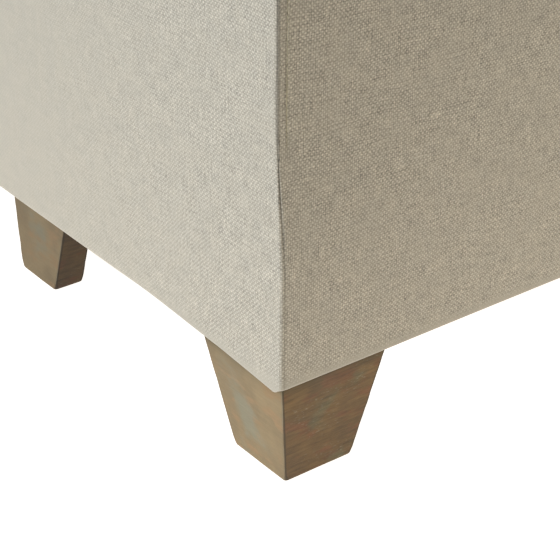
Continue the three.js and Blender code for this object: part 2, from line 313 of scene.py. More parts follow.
def woven(name, color, dark, pitch, contrast, bump_depth, slub=0.1):
    """Plain weave in the cloth's own coordinates, with yarns of uneven thickness and colour."""
    n = Nodes(name)
    cloth = n.cloth_place()
    wander = n.add("ShaderNodeTexNoise", noise_dimensions="2D")
    n.link(cloth, wander.inputs["Vector"])
    wander.inputs["Scale"].default_value = 0.1 / pitch
    wander.inputs["Detail"].default_value = 2
    moved = n.add("ShaderNodeVectorMath", operation="MULTIPLY_ADD")
    n.link(wander.outputs["Color"], moved.inputs[0])
    moved.inputs[1].default_value = (1.5 * pitch, 1.5 * pitch, 0)
    n.link(cloth, moved.inputs[2])
    moved = moved.outputs[0]
    waves, gaps = [], []
    for along in n.axes(moved)[:2]:
        phase = n.times(along, math.pi / pitch)
        waves.append(n.math("SINE", phase))
        gaps.append(n.math("ABSOLUTE", waves[-1]))
    over = n.times(waves[0], waves[1])
    threads = n.math("SUBTRACT", n.math("ADD", *gaps), MEAN_GAP)
    over = n.times(n.scaled(threads, 1.1, over), 0.8)

    def yarn_noise(across, along):
        """Streaks along the yarns of both directions, about 0."""
        upright = n.noise(n.stretched(moved, (across / pitch, along, 1)), 1.0, 2.0, 0.6)
        level = n.noise(n.stretched(moved, (along, across / pitch, 1)), 1.0, 2.0, 0.6)
        return n.math("SUBTRACT", n.times(n.math("ADD", upright, level), 0.5), 0.5)

    yarns = yarn_noise(0.85, 60)  # single yarns, thicker or thinner for a centimetre or so
    slubs = yarn_noise(0.3, 16)
    fibre = n.math("SUBTRACT", n.noise(moved, 1.2 / pitch, 2.0, 0.7), 0.5)
    patch = n.scaled(n.ramp(n.noise(cloth, 30), 0.35, 0.65), 0.3, 0.8)
    shown = n.times(patch, n.scaled(n.attribute("pulled"), -PULLED_FLAT, 1.0))
    mixed = n.scaled(yarns, 4.2, n.scaled(fibre, 4.0, over))
    grain = n.times(mixed, shown)
    height = n.scaled(slubs, 0.8, grain)
    light = n.scaled(grain, contrast, 1.0)
    light = n.math("ADD", light, n.times(slubs, 2 * slub))
    # painted shade in the seams' grooves
    light = n.times(light, n.scaled(n.attribute("seam"), -SEAM_SHADE, 1.0))
    tint = n.blend(n.ramp(n.noise(cloth, 55), 0.38, 0.62), dark, color)
    shaded = n.blend(1.0, tint, n.shade(light), "MULTIPLY")
    n.shader.inputs["Sheen Weight"].default_value = 0.2
    n.shader.inputs["Sheen Roughness"].default_value = 0.5
    n.shader.inputs["Specular IOR Level"].default_value = 0.2
    return n.finish(shaded, 0.92, n.bump(height, 0.6, bump_depth))


def weathered_wood():
    """Reclaimed-look timber: brown stain, grey-green wash in patches, faint level grain, worn arrises.
    Faces towards X are painted darker and warmer, which is painted shade, and the tone and under_cover values
    paint shade as well."""
    n = Nodes("weathered_wood")
    place = n.object_place()
    level_grain = n.noise(n.stretched(place, (1, 1, 9)), 40, 6.0, 0.7)
    fine_grain = n.noise(n.stretched(place, (1, 1, 3.5)), 240, 3.0, 0.6)
    mottle = n.noise(n.stretched(place, (1, 1, 0.7)), 30, 4.0, 0.55)
    wash = n.noise(place, 21, 4.0, 0.55)
    streak = n.noise(n.stretched(place, (1, 1, 2.2)), 34, 4.0, 0.6)
    side = n.attribute("side_face")
    # each pair: the faces towards Y, then the faces towards X, painted about half as bright and warmer:
    # painted shade. The stronger flecks and grain on the X faces are the wood's own.
    paler = n.blend(side, (0.255, 0.182, 0.09), (0.162, 0.096, 0.035))
    deeper = n.blend(side, (0.2, 0.14, 0.066), (0.118, 0.069, 0.024))
    red = n.blend(side, (0.27, 0.165, 0.074), (0.165, 0.07, 0.027))
    grey_green = n.blend(side, (0.205, 0.186, 0.118), (0.125, 0.108, 0.052))
    brown = n.blend(n.ramp(mottle, 0.35, 0.65), deeper, paler)
    brown = n.blend(n.times(n.ramp(streak, 0.5, 0.66), 0.75), brown, red)
    washed = n.attribute("washed")
    green = n.times(n.ramp(n.math("ADD", wash, n.times(washed, 0.22)), 0.52, 0.68), 0.8)
    brown = n.blend(green, brown, grey_green)
    flecks = n.times(n.ramp(fine_grain, 0.58, 0.72), n.ramp(wash, 0.47, 0.6))
    flecks = n.times(flecks, n.scaled(side, 0.4, 0.08))
    brown = n.blend(flecks, brown, (0.28, 0.25, 0.17))
    depth = n.scaled(side, 1.3, 0.35)
    lines = n.scaled(n.math("SUBTRACT", level_grain, 0.5), depth, 1.0)
    brown = n.blend(1.0, brown, n.shade(lines), "MULTIPLY")
    # A paler worn line on each arris, a dark line beside it, and both along the sole. The wear is the wood's
    # own; weighting the dark line to the faces towards X and the pale line to the faces towards Y is painted
    # shade.
    edge = n.attribute("edge")
    beside = n.times(n.ramp(edge, 0.25, 0.6), n.scaled(side, 0.6, 0.15))
    brown = n.blend(beside, brown, (0.05, 0.037, 0.018))
    worn = n.times(n.ramp(edge, 0.7, 0.95), n.ramp(mottle, 0.3, 0.55))
    brown = n.blend(n.times(worn, n.scaled(side, -0.6, 0.7)), brown, (0.27, 0.23, 0.15))
    # painted shade in a band at the top of each foot, under the cover
    brown = n.blend(n.times(n.attribute("under_cover"), 0.9), brown, (0.042, 0.034, 0.012))
    # painted shade: the middle feet darker, most of all on their faces towards X
    brown = n.blend(1.0, brown, n.shade(n.attribute("tone")), "MULTIPLY")
    height = n.math("ADD", level_grain, n.times(fine_grain, 0.5))
    n.shader.inputs["Specular IOR Level"].default_value = 0.3
    roughness = n.scaled(mottle, 0.3, 0.5)
    return n.finish(brown, roughness, n.bump(height, 0.35, 0.0006))


def plywood():
    n = Nodes("plywood")
    place = n.object_place()
    grain = n.noise(n.stretched(place, (1.5, 14, 14)), 9, 5.0, 0.6)
    plies = n.noise(n.stretched(place, (1, 60, 60)), 8, 2.0, 0.5)
    color = n.blend(n.ramp(grain, 0.35, 0.7), (0.46, 0.31, 0.165), (0.64, 0.48, 0.29))
    color = n.blend(n.times(n.ramp(plies, 0.55, 0.62), 0.3), color, (0.33, 0.2, 0.1))
    return n.finish(color, 0.75, n.bump(grain, 0.2, 0.0005))


def foam_material():
    n = Nodes("foam")
    place = n.object_place()
    cells = n.add("ShaderNodeTexVoronoi")
    n.link(place, cells.inputs["Vector"])
    cells.inputs["Scale"].default_value = 900
    tone = n.noise(place, 18)
    color = n.blend(n.ramp(tone, 0.35, 0.65), (0.78, 0.69, 0.45), (0.86, 0.79, 0.58))
    return n.finish(color, 0.95, n.bump(cells.outputs["Distance"], 0.6, 0.0008))


def steel(name, color, roughness):
    n = Nodes(name)
    place = n.object_place()
    brush = n.noise(n.stretched(place, (1, 1, 22)), 160, 3.0, 0.6)
    spangle = n.noise(place, 130, 2.0)
    tinted = n.blend(n.times(spangle, 0.35), color, tuple(0.72 * c for c in color))
    rough = n.scaled(brush, 0.12, roughness)
    return n.finish(tinted, rough, n.bump(brush, 0.08, 0.0002), metallic=1.0)


def felt_material():
    n = Nodes("felt")
    place = n.object_place()
    hair = n.noise(place, 1500, 4.0, 0.7)
    color = n.blend(hair, (0.045, 0.04, 0.035), (0.12, 0.105, 0.09))
    n.shader.inputs["Sheen Weight"].default_value = 0.4
    return n.finish(color, 1.0, n.bump(hair, 0.7, 0.0006))


def nonwoven():
    """Thin black spun cloth with a fine embossed diamond pattern."""
    n = Nodes("dust_cloth")
    cloth = n.cloth_place()
    spacing = 2.2 * MM
    waves = []
    for joined in ("ADD", "SUBTRACT"):
        diagonal = n.math(joined, *n.axes(cloth)[:2])
        waves.append(n.math("SINE", n.times(diagonal, math.pi / spacing)))
    dots = n.times(*waves)
    fibres = n.noise(cloth, 700, 4.0, 0.7)
    color = n.blend(fibres, (0.012, 0.012, 0.013), (0.045, 0.045, 0.047))
    height = n.scaled(fibres, 0.6, dots)
    return n.finish(color, 0.85, n.bump(height, 0.3, 0.0003))


LINEN = woven("linen", (0.422, 0.376, 0.291), (0.408, 0.366, 0.286), 1.87 * MM, 0.35, 0.0001, slub=0.05)
LINING = woven("lining_cloth", (0.107, 0.098, 0.09), (0.098, 0.09, 0.083), 0.9 * MM, 0.2, 0.00012)
DUST_CLOTH = nonwoven()
WOOD = weathered_wood()
PLYWOOD = plywood()
FOAM = foam_material()
ZINC = steel("zinc_steel", (0.56, 0.56, 0.55), 0.32)
HINGE_STEEL = steel("hinge_steel", (0.56, 0.45, 0.25), 0.28)
FELT = felt_material()

SLOT_MATERIALS = {
    "plywood": PLYWOOD,
    "weathered_wood": WOOD,
    "zinc_steel": ZINC,
    "hinge_steel": HINGE_STEEL,
}
for row in subparts:
    if row["material_slot"] in SLOT_MATERIALS:
        node = nodes[row["node"]]
        node.data.materials.clear()
        node.data.materials.append(SLOT_MATERIALS[row["material_slot"]])

# ---------- upholstered body ----------
body_low, _, body_size, body_centre = size_of("body_cover")
HALF_X = body_size.x / 2
HALF_Y = body_size.y / 2
CORNER = 3.5 * MM  # radius of the fabric at the sewn corners
TOP_EDGE = 4.5 * MM  # radius where it turns over the panels' top
BOTTOM_EDGE = 3.2 * MM  # the same at the bottom, on the ends and near the corners
SPAN_EDGE = 5.5 * MM  # and between the feet of the long sides, where the fabric is pulled tighter
UNDER_RETURN = 30 * MM
TOP_RETURN = 24 * MM
COVER_THICKNESS = 1.1 * MM


def graded(length, fine, step):
    """Places from 0 to length: those of fine near both ends, then even steps."""
    start = [f for f in fine if f < length / 2]
    middle = length - 2 * start[-1]
    count = max(1, round(middle / step))
    evenly = [start[-1] + middle * i / count for i in range(1, count)]
    return start + evenly + [length - f for f in reversed(start)]


def outline(half_x, half_y, radius):
    """Stations round a rounded rectangle, anticlockwise from the front right corner: place, normal, the
    cloth's own coordinate, and the distance from the nearest corner's middle, which is a seam. Each side's
    last station also has the coordinate at which its cloth ends."""
    fine = [0, 1.2 * MM, 2.6 * MM, 4.5 * MM, 7 * MM, 11 * MM, 17 * MM]
    half_steps = 5
    half_arc = radius * math.pi / 4
    stations = []

    def bend(centre, turned, run, apart):
        normal = Vector((math.cos(turned), math.sin(turned)))
        stations.append([centre + normal * radius, normal, run, apart])

    for sx, sy, turn in ((1, -1, 0), (1, 1, 90), (-1, 1, 180), (-1, -1, 270)):
        # the second half of this corner, the straight side, and the first half of the next corner
        centre = Vector((sx * (half_x - radius), sy * (half_y - radius)))
        for i in range(half_steps + 1):
            part = math.radians(45 * i / half_steps)
            bend(centre, math.radians(turn - 45) + part, radius * part, radius * part)
        start, normal = stations[-1][:2]
        side = 2 * (half_y if turn in (0, 180) else half_x) - 2 * radius
        along = Vector((-normal.y, normal.x))
        for place in graded(side, fine, 9 * MM)[1:-1]:
            apart = min(place, side - place) + half_arc
            stations.append([start + along * place, normal.copy(), half_arc + place, apart])
        centre = start + along * side - normal * radius
        for i in range(half_steps):
            part = math.radians(45 * i / half_steps)
            bend(centre, math.radians(turn) + part, half_arc + side + radius * part, half_arc - radius * part)
        stations[-1].append(half_arc * 2 + side)
    return stations


SEAM_LOW = 2.4 * MM  # low down the corner seam lies on the end's side of the rounded corner
SEAM_HIGH = -1.9 * MM  # and further up it is drawn over to the long side


def seam_lift(z):
    """0 low down, where the seam is round, and 1 above the body's lower third."""
    return smoothstep(0.08, 0.22, z - body_low.z)


def seam_relief(apart, normal, z):
    """(height, share of painted shade) by a plain corner seam: a groove, deeper further up, beside a low
    ridge.
    """
    lift = seam_lift(z)
    across = (apart if abs(normal.x) > abs(normal.y) else -apart) - mix(SEAM_LOW, SEAM_HIGH, lift)
    groove = mix(0.3, 1.0, lift) * math.exp(-((across / (0.75 * MM)) ** 2))
    ridge = math.exp(-(((across + 3.6 * MM) / (1.8 * MM)) ** 2))
    return (0.4 * ridge - 1.6 * groove) * MM, groove


TUCK = 2.6 * MM  # how far the end's cloth is set in at the seam


def tuck_share(y, z):
    """Above the lower third, the end's cloth starts square from the seam instead of round."""
    return seam_lift(z) * (1 - smoothstep(0.004, 0.04, HALF_Y - abs(y - body_centre.y)))


def from_corner(x):
    """Distance along a long side from its nearest end."""
    return HALF_X - abs(x)


LIP = 2.0 * MM  # the cover's lower edge hangs below the underside
EAR_DROP = 5.0 * MM  # more of that at the front right corner, where the cloth is folded
EAR_PEAK = 10 * MM
EAR_END = 80 * MM
HOLLOW = 1.2 * MM
LIP_INSIDE = 1.2 * MM


def span_share(x):
    """0 near the corner feet, 1 along the middle of a long side."""
    return smoothstep(0.06, 0.2, from_corner(x))


def lower_edge(x, y, long_side):
    """(reach in, reach up, hang) of the rounded lower edge at a place on the outline."""
    if not long_side:
        return 0.8 * BOTTOM_EDGE, BOTTOM_EDGE, LIP
    span = span_share(x)
    radius = mix(BOTTOM_EDGE, SPAN_EDGE, span)
    apart = from_corner(x)
    left = clamp((EAR_END - apart) / (EAR_END - EAR_PEAK), 0.0, 1.0)
    ear = smoothstep(0, EAR_PEAK, apart) * left ** 1.1
    size = 1.0 if x > 0 and y < body_centre.y else 0.45
    return 0.8 * radius, radius, LIP * (1 - span) + EAR_DROP * size * ear


def span_hollow(x, z):
    """The long sides draw in a little low down between the feet."""
    return HOLLOW * span_share(x) * (1 - smoothstep(0, 0.11, z - body_low.z))


END_DRAWN_IN = 4.6 * MM


def end_draw(x, y, z):
    """The ends draw in above their lower third, most of all beside the front corners."""
    lift = smoothstep(0.095, 0.23, z - body_low.z)
    beside = 1 - smoothstep(0, 0.19, y - (body_centre.y - HALF_Y))
    near_end = 1 - smoothstep(0.0, 0.05, from_corner(x))
    return END_DRAWN_IN * lift * beside * near_end


UNDER_ROWS = 6
BEND_ROWS = 7
WALL_ROWS = 38
RETURN_ROWS = 4


def body_section(x, y, long_side):
    """The cover's section at a place on its outline: (inset, rise, cloth's own height, share of relief)."""
    height = body_size.z
    reach_in, reach_up, hang = lower_edge(x, y, long_side)
    inside = reach_in + LIP_INSIDE
    rows = []
    for i in range(UNDER_ROWS):
        inset = mix(UNDER_RETURN, inside, i / UNDER_ROWS)
        rows.append((inset, 0.0, -inset - hang, 0.0))
    for i in range(BEND_ROWS):
        angle = math.pi / 2 * i / BEND_ROWS
        inset = reach_in + LIP_INSIDE * math.cos(angle)
        rows.append((inset, -hang * math.sin(angle), -inset - hang * math.cos(angle), 0.0))
    start = reach_up - hang
    for i in range(BEND_ROWS):
        angle = math.pi / 2 * i / BEND_ROWS
        inset = reach_in * (1 - math.sin(angle))
        rise = reach_up * (1 - math.cos(angle)) - hang
        rows.append((inset, rise, start - reach_up * (math.pi / 2 - angle), math.sin(angle)))
    for i in range(WALL_ROWS):
        rise = mix(start, height - TOP_EDGE, i / WALL_ROWS)
        rows.append((0.0, rise, rise, 1.0))
    for i in range(BEND_ROWS + 1):
        angle = math.pi / 2 * i / BEND_ROWS
        inset = TOP_EDGE * (1 - math.cos(angle))
        rise = height - TOP_EDGE + TOP_EDGE * math.sin(angle)
        rows.append((inset, rise, height - TOP_EDGE + TOP_EDGE * angle, math.cos(angle)))
    for i in range(1, RETURN_ROWS + 1):
        inset = mix(TOP_EDGE, TOP_RETURN, i / RETURN_ROWS)
        rows.append((inset, height, height - TOP_EDGE + TOP_EDGE * math.pi / 2 + inset, 0.0))
    return rows


# The front's weave also fades away from its right corner. That imitates soft focus in the main view, and
# the real cloth is even: with both at 0 it is even here too.
NEAR_FADE = 0.15
FAR_FADE = 0.95


def body_cover():
    stations = outline(HALF_X, HALF_Y, CORNER)
    columns = []
    for place, normal, _, apart, *_ in stations:
        column = []
        long_side = abs(normal.y) > 0.5
        base_y = body_centre.y + place.y
        for inset, rise, cloth, relief in body_section(place.x, base_y, long_side):
            z = body_low.z + rise
            x = place.x * (HALF_X - inset) / HALF_X
            y = body_centre.y + place.y * (HALF_Y - inset) / HALF_Y
            seam_height, seam_dark = seam_relief(apart, normal, z)
            out = relief * seam_height
            out += relief * 0.5 * MM * wobble(x, y, z, 0.11) * smoothstep(0, 0.03, apart)
            out -= abs(normal.y) * span_hollow(x, z) * (1 if inset < 10 * MM else 0.6)
            tuck = max(0.0, abs(place.x) - (HALF_X - TUCK)) * tuck_share(base_y, z)
            x -= math.copysign(end_draw(x, y, z) + tuck, x)
            pulled = 1 - smoothstep(3 * MM, 9 * MM, rise)
            if long_side and place.y < 0:
                pulled = max(pulled, mix(NEAR_FADE, FAR_FADE, smoothstep(0.04, 0.42, HALF_X - x)))
            point = (x + normal.x * out, y + normal.y * out, z)
            column.append((point, cloth, pulled, relief * seam_dark))
        columns.append(column)
    rows = len(columns[0])
    points = [row[0] for column in columns for row in column]
    faces, uvs = [], []
    for i, station in enumerate(stations):
        k = (i + 1) % len(stations)
        u_a = station[2]
        u_b = station[4] if len(station) > 4 else stations[k][2]
        for j in range(rows - 1):
            faces.append((i * rows + j, k * rows + j, k * rows + j + 1, i * rows + j + 1))
            uvs.append([
                (u_a, columns[i][j][1]), (u_b, columns[k][j][1]),
                (u_b, columns[k][j + 1][1]), (u_a, columns[i][j + 1][1])])
    piece = make_mesh("body_cover_linen", points, faces, uvs)
    add_values(piece, "pulled", [row[2] for column in columns for row in column])
    add_values(piece, "seam", [row[3] for column in columns for row in column])
    solidify(piece, COVER_THICKNESS)
    finish_piece(piece, LINEN, "base", "linen", "body_cover")


body_cover()


# ---------- worn wooden feet ----------
def foot_ends(name):
    """(centre, half size) of the CAD foot's outline at the floor and at its top."""
    low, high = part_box(name)
    ends = []
    for level in (low.z, high.z):
        ring = [v.co for v in nodes[name].data.vertices if abs(v.co.z - level) < 0.5 * MM]
        near = Vector((min(p.x for p in ring), min(p.y for p in ring)))
        far = Vector((max(p.x for p in ring), max(p.y for p in ring)))
        ends.append(((near + far) / 2, (far - near) / 2))
    return low.z, high.z, ends


ARRIS = 0.9 * MM
WORN_ARRIS = 2.6 * MM  # at the floor
SOLE_EDGE = 2.0 * MM
BESIDE_ARRIS = [0.5 * MM, 1.0 * MM, 1.8 * MM, 3.0 * MM]


def square_ring(half_x, half_y, radius):
    """Round a rounded rectangle: place, normal, nearness to an arris, and how far it faces X."""
    ring = []
    side_steps, arc_steps = 14, 3
    for sx, sy, turn in ((1, -1, -90), (1, 1, 0), (-1, 1, 90), (-1, -1, 180)):
        centre = Vector((sx * (half_x - radius), sy * (half_y - radius)))
        for i in range(arc_steps + 1):
            angle = math.radians(turn + 90 * i / arc_steps)
            normal = Vector((math.cos(angle), math.sin(angle)))
            ring.append((centre + normal * radius, normal, 1.0, abs(normal.x)))
        along = Vector((-normal.y, normal.x))
        side = 2 * (half_y if turn in (-90, 90) else half_x) - 2 * radius
        start = ring[-1][0]
        first, last = BESIDE_ARRIS[-1], side - BESIDE_ARRIS[-1]
        evenly = [mix(first, last, i / side_steps) for i in range(1, side_steps)]
        for run in BESIDE_ARRIS + evenly + [side - near for near in reversed(BESIDE_ARRIS)]:
            edge = math.exp(-min(run, side - run) / (1.1 * MM))
            ring.append((start + along * run, normal, edge, abs(normal.x)))
    return ring


def wooden_foot(node):
    bottom, top, ends = foot_ends(node)
    seed = 7.3 * ends[0][0].x + 3.1 * ends[0][0].y
    levels = [0, 0.4, 1.0, 1.8, 3.5, 7] + [7 + (100 - 7) * i / 18 for i in range(1, 19)]
    points, edges, sides, shades, washes = [], [], [], [], []
    for level in levels:
        z = mix(bottom, top, level / 100)
        drop = max(0.0, 1 - (z - bottom) / SOLE_EDGE)
        pull = SOLE_EDGE * (1 - math.sqrt(max(0.0, 1 - drop * drop)))
        centre = ends[0][0].lerp(ends[1][0], level / 100)
        half = ends[0][1].lerp(ends[1][1], level / 100)
        arris = mix(WORN_ARRIS, ARRIS, smoothstep(0, 9 * MM, z - bottom))
        for place, normal, edge, side in square_ring(half.x - pull, half.y - pull, arris):
            x, y = centre.x + place.x, centre.y + place.y
            uneven = 0.25 * MM * wobble(x, y, z, 0.03, seed)
            uneven -= 0.5 * MM * edge * max(0.0, wobble(x, y, z, 0.012, seed + 4))
            points.append((x + normal.x * uneven, y + normal.y * uneven, z))
            sole = math.exp(-(z - bottom) / (1.5 * MM))
            edges.append(max(edge, 0.8 * sole))
            sides.append(side)
            across = place.x / half.x
            patch = math.exp(-((across + 0.15) / 0.4) ** 2 - ((level - 55) / 32) ** 2)
            washes.append((1 - side) * patch - 0.3)
            # painted shade: strongest at the top, under the cover's overhang, fading within about 7 mm
            shades.append(math.exp(-(top - z) / (7 * MM)))
    faces = tube_faces(len(points) // len(levels), len(levels))
    piece = make_mesh(node.replace("foot_", "wood_foot_"), points, faces)
    for polygon in piece.data.polygons[-2:]:
        polygon.use_smooth = False
    add_values(piece, "edge", edges)
    add_values(piece, "side_face", sides)
    add_values(piece, "washed", washes)
    add_values(piece, "under_cover", shades)
    # painted shade: the lights alone leave the middle feet too pale
    light_tone, side_tone = (0.7, 0.45) if "middle" in node else (1.0, 1.0)
    add_values(piece, "tone", [mix(light_tone, side_tone, side) for side in sides])
    finish_piece(piece, WOOD, "base", "weathered_wood", node)


for row in subparts:
    if row["node"].startswith("foot_"):
        wooden_foot(row["node"])


# ---------- sheets: linings and dust cover ----------
def cut_places(low, high, step, *cuts):
    """Even places from low to high that also stop at each cut."""
    ends = [low, *sorted(cuts), high]
    places = []
    for a, b in zip(ends, ends[1:]):
        count = max(1, round((b - a) / step))
        places += [mix(a, b, i / count) for i in range(count)]
    return places + [high]


def flat_cloth(name, low, high, z, height_at, notch=0.0, facing=1):
    """A level cloth with its corners cut out by notch, lifted by height_at(x, y)."""
    step = 9 * MM
    xs = cut_places(low.x, high.x, step, *([low.x + notch, high.x - notch] if notch else []))
    ys = cut_places(low.y, high.y, step, *([low.y + notch, high.y - notch] if notch else []))
    index, points, faces, uvs = {}, [], [], []

    def point(i, j):
        if (i, j) not in index:
            index[i, j] = len(points)
            points.append((xs[i], ys[j], z + height_at(xs[i], ys[j])))
        return index[i, j]

    for i in range(len(xs) - 1):
        for j in range(len(ys) - 1):
            x, y = (xs[i] + xs[i + 1]) / 2, (ys[j] + ys[j + 1]) / 2
            in_x = x < low.x + notch or x > high.x - notch
            in_y = y < low.y + notch or y > high.y - notch
            if in_x and in_y:
                continue
            corners = [(i, j), (i + 1, j), (i + 1, j + 1), (i, j + 1)][::facing]
            faces.append([point(*c) for c in corners])
            uvs.append([(xs[a], ys[b]) for a, b in corners])
    return make_mesh(name, points, faces, uvs)


def rim_share(x, y, low, high, reach):
    """0 at the rim of a rectangle, 1 from reach inwards."""
    apart = min(x - low.x, high.x - x, y - low.y, high.y - y)
    return smoothstep(0, reach, apart)


POST_NOTCH = size_of("corner_post_front_left")[2].x + 0.3 * MM  # cut out of the lining round each post


def lining_floor():
    low, high, size, _ = size_of("lining_floor")

    def height(x, y):
        soft = 0.8 * MM * (1 + wobble(x, y, 0, 0.09)) + 0.35 * MM * wobble(x, y, 0, 0.03)
        return 0.2 * MM + soft * rim_share(x, y, low, high, 0.04)

    piece = flat_cloth("lining_floor_cloth", low, high, low.z + 0.7 * MM, height, POST_NOTCH)
    solidify(piece, 0.6 * MM)
    finish_piece(piece, LINING, "base", "lining_cloth", "lining_floor")


def lining_walls():
    low, high, size, centre = size_of("lining_walls")
    notch = POST_NOTCH
    hx, hy = size.x / 2 - 0.3 * MM, size.y / 2 - 0.3 * MM
    corners = []
    for sx, sy in ((1, 1), (-1, 1), (-1, -1), (1, -1)):
        post = [(hx, hy - notch), (hx - notch, hy - notch), (hx - notch, hy)][::sx * sy]
        corners += [(sx * x, sy * y) for x, y in post]
    corners = corners[-1:] + corners[:-1]
    ring, run = [], 0.0
    for a, b in zip(corners, corners[1:] + corners[:1]):
        start, end = Vector(a), Vector(b)
        length = (end - start).length
        count = max(2, round(length / (10 * MM)))
        inward = Vector((-(end - start).y, (end - start).x)).normalized()
        for i in range(count):
            share = i / count
            slack = math.sin(math.pi * share) ** 0.5
            ring.append((start.lerp(end, share), inward, run + length * share, slack))
        run += length
    rows = 30
    points = []
    for j in range(rows + 1):
        rise = j / rows
        z = mix(low.z + 1.2 * MM, high.z, rise)
        for place, inward, _, slack in ring:
            fold = 0.6 * MM * (1 + wobble(place.x, place.y, z * 0.35, 0.035, 3.0))
            fold += 0.4 * MM * (1 + wobble(place.x, place.y, z, 0.08, 9.0))
            moved = place + inward * fold * slack * math.sin(math.pi * rise) ** 0.4
            points.append((moved.x, centre.y + moved.y, z))
    count = len(ring)
    faces, uvs = [], []
    for j in range(rows):
        for i in range(count):
            k = (i + 1) % count
            faces.append((j * count + k, j * count + i, (j + 1) * count + i, (j + 1) * count + k))
            u_a, u_b = ring[i][2], ring[k][2] if k else run
            v_a, v_b = size.z * j / rows, size.z * (j + 1) / rows
            uvs.append([(u_b, v_a), (u_a, v_a), (u_a, v_b), (u_b, v_b)])
    piece = make_mesh("lining_walls_cloth", points, faces, uvs)
    solidify(piece, 0.7 * MM)
    finish_piece(piece, LINING, "base", "lining_cloth", "lining_walls")


def lid_lining():
    low, high, size, _ = size_of("lid_lining")

    def height(x, y):
        soft = 0.5 * MM * (1 + wobble(x, y, 0, 0.12, 5.0)) + 0.2 * MM * wobble(x, y, 0, 0.03)
        return -soft * rim_share(x, y, low, high, 0.03)

    piece = flat_cloth("lid_lining_cloth", low, high, high.z, height, facing=-1)
    solidify(piece, 0.6 * MM)
    finish_piece(piece, LINING, "lid", "lining_cloth", "lid_lining")


def dust_cover():
    low, high, size, _ = size_of("dust_cover")

    def height(x, y):
        pucker = 0.35 * MM * math.sin(x / (9 * MM)) * (1 - rim_share(x, y, low, high, 0.03))
        sag = -1.2 * MM * rim_share(x, y, low, high, 0.12) * (1 + 0.6 * wobble(x, y, 0, 0.15, 2.0))
        return sag + pucker * rim_share(x, y, low, high, 0.006)

    piece = flat_cloth("dust_cover_cloth", low, high, high.z - 0.1 * MM, height, facing=-1)
    solidify(piece, 0.5 * MM)
    finish_piece(piece, DUST_CLOTH, "base", "dust_cloth", "dust_cover")


lining_floor()
lining_walls()
lid_lining()
dust_cover()


# ---------- foam pads and felt bumpers ----------
def rounded_slab(name, node, radius, step):
    """A soft block in a CAD node's box, with rounded edges."""
    low, high, size, centre = size_of(node)
    counts = [max(3, round(extent / step)) for extent in size]
    grid, points, faces = {}, [], []
    for _, side, corners in box_faces(counts):
        for key in corners:
            if key not in grid:
                grid[key] = len(points)
                raw = Vector([centre[a] + (2 * key[a] / counts[a] - 1) * size[a] / 2 for a in range(3)])
                points.append(rounded(raw, low, high, radius))
        face = [grid[key] for key in corners]
        faces.append(face if side else face[::-1])
    return make_mesh(name, points, faces)


def body_pad(side):
    """A foam pad pressed to the inside of the cover's shape."""
    pad = rounded_slab(f"{side}_pad_foam", f"{side}_pad", 1.5 * MM, 12 * MM)
    low, high, size, centre = size_of(f"{side}_pad")
    long_side = side in ("front", "rear")
    axis = 1 if long_side else 0
    for vertex in pad.data.vertices:
        x, y, z = vertex.co
        outwards = 1 if centre[axis] > body_centre[axis] else -1
        outer = smoothstep(-0.3, 0.3, outwards * (vertex.co[axis] - centre[axis]) / (size[axis] / 2))
        reach_in, reach_up, hang = lower_edge(x, y, long_side)
        rise = clamp((z - body_low.z + hang) / reach_up, 0.0, 1.0)
        rounding = reach_in * (1 - math.sqrt(max(0.0, 1 - (1 - rise) ** 2))) * 1.2
        if long_side:
            at_seam = 1.6 * MM * math.exp(-((from_corner(x) / (5 * MM)) ** 2))
            moved = outer * (max(rounding, 0.3 * MM) + span_hollow(x, z) + at_seam)
            vertex.co.y -= outwards * min(moved, 5.4 * MM)
            vertex.co.x -= math.copysign(end_draw(x, y, z) + (at_seam > MM) * at_seam, x)
        else:
            tuck = TUCK * tuck_share(y, z)
            moved = outer * (max(rounding, 0.3 * MM) + end_draw(x, y, z) + tuck)
            vertex.co.x -= outwards * min(moved, 5.6 * MM)
    finish_piece(pad, FOAM, "base", "foam", f"{side}_pad")


for side in ("front", "rear", "left", "right"):
    body_pad(side)

lid_low, lid_high, lid_size, lid_centre = size_of("lid_cover")
LID_SEAM_DROP = 4 * MM  # the top seam lies a little below the flat top, and the cushion crowns above it


def lid_crown(x, y):
    """How far the cushion's top stands above its seam."""
    along = min(1.0, abs(x - lid_centre.x) / (lid_size.x / 2))
    across = min(1.0, abs(y - lid_centre.y) / (lid_size.y / 2))
    return (LID_SEAM_DROP + 0.5 * MM) * (1 - along ** 8) * (1 - across ** 5)


def lid_foam_block():
    block = rounded_slab("lid_foam_block", "lid_foam", 6 * MM, 14 * MM)
    low, high, size, _ = size_of("lid_foam")
    for vertex in block.data.vertices:
        top = lid_high.z - LID_SEAM_DROP - 2.2 * MM + 0.8 * lid_crown(vertex.co.x, vertex.co.y)
        vertex.co.z = low.z + (vertex.co.z - low.z) * (top - low.z) / size.z
    finish_piece(block, FOAM, "lid", "foam", "lid_foam")


lid_foam_block()


def felt_bumper(side):
    low, high, size, centre = size_of(f"bumper_{side}")
    turns = 36
    profile = [(0, 0), (0.9, 0), (1.0, 0.25), (1.0, 0.7), (0.88, 0.95), (0.4, 1.0), (0, 1.0)]
    points = []
    for radius, rise in profile:
        for i in range(turns):
            angle = 2 * math.pi * i / turns
            fuzz = 1 + 0.02 * wobble(math.cos(angle), math.sin(angle), rise, 0.3)
            reach = size.x / 2 * max(radius, 0.001) * fuzz
            across = Vector((math.cos(angle), math.sin(angle), 0)) * reach
            points.append((centre.x + across.x, centre.y + across.y, low.z + rise * size.z))
    piece = make_mesh(f"felt_bumper_{side}", points, tube_faces(turns, len(profile)))
    finish_piece(piece, FELT, "base", "felt", f"bumper_{side}")


felt_bumper("left")
felt_bumper("right")

